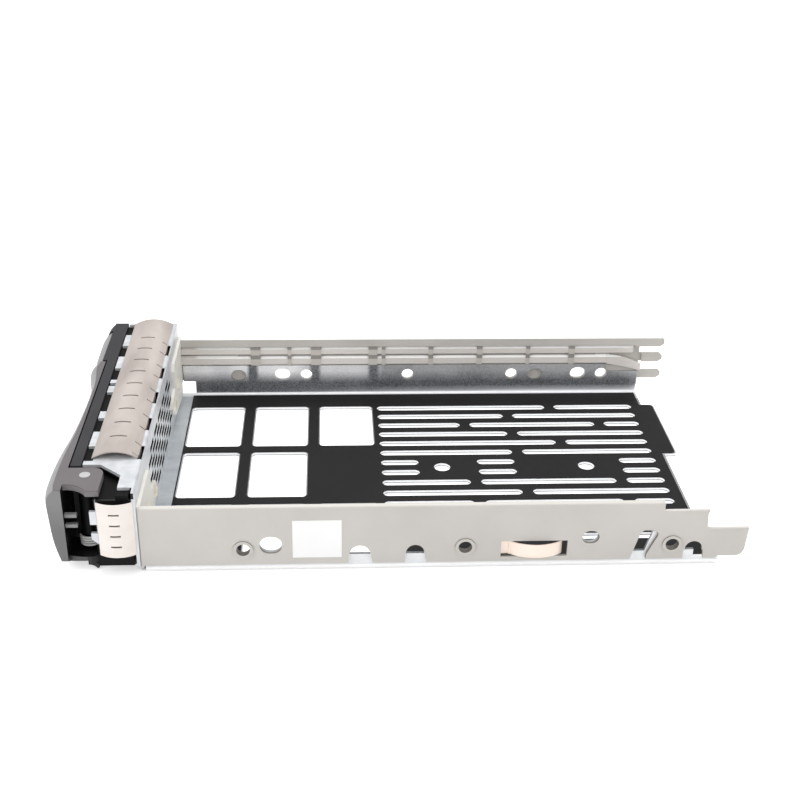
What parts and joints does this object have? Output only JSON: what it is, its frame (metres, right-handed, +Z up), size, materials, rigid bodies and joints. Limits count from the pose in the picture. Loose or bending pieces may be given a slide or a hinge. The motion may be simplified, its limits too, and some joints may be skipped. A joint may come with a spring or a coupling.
{
  "type": "hot swap drive caddy",
  "caption": "Sheet metal hot swap caddy for a 3.5 inch drive, with vented front, light pipes, spring gaskets, pivoting ejector handle and rocking release button.",
  "frame": {"origin": "on the underside, at the rear face of the vent wall, on the drive's centreline", "axes": "+X towards the connector end, +Y across towards the light pipes, +Z up"},
  "size_m": [0.1897, 0.1088, 0.0284],
  "materials": {
    "galvanised": "galvanised, mottled",
    "black_film": "satin film",
    "beige_steel": "matt beige coat",
    "clear_pipe": "clear moulding",
    "beige_plastic": "matt",
    "bright_steel": "plated",
    "gasket_alloy": "satin plated spring alloy",
    "copper_alloy": "satin",
    "label_paper": "matt",
    "black_plastic": "fine grain",
    "dark_plastic": "fine grain",
    "grey_plastic": "fine grain"
  },
  "bodies": {
    "caddy": {"floor_tray": "galvanised", "floor_film": "black_film", "near_rail": "beige_steel", "far_rail": "beige_steel", "light_pipe_upper": "clear_pipe", "light_pipe_lower": "clear_pipe", "pipe_carrier": "beige_plastic", "front_bracket": "galvanised", "flange_rivets": "bright_steel", "near_eyelets": "bright_steel", "top_gasket": "gasket_alloy", "side_gasket": "gasket_alloy", "ground_spring": "copper_alloy", "blank_label": "label_paper", "bezel_body": "black_plastic", "bezel_screws": "bright_steel", "front_panel": "dark_plastic", "panel_screws": "bright_steel", "indicator_lens_upper": "clear_pipe", "indicator_lens_lower": "clear_pipe", "pivot_pin": "bright_steel", "pin_clip": "bright_steel", "handle_spring": "bright_steel", "button_pin": "bright_steel", "button_spring": "bright_steel"},
    "handle": {"handle": "grey_plastic"},
    "button": {"release_button": "grey_plastic"}
  },
  "joints": [
    {"name": "handle_hinge", "type": "hinge", "parent": "caddy", "child": "handle", "pos_m": [-0.0142, -0.0433, 0.0135], "axis": [0, 0, 1], "range_deg": [0, 40]},
    {"name": "button_rock", "type": "hinge", "parent": "caddy", "child": "button", "pos_m": [-0.019, 0.03825, 0.0226], "axis": [0, -1, 0], "range_deg": [0, 8], "stiffness_Nm_per_rad": 0.05, "deforming": ["button_spring"]}
  ]
}
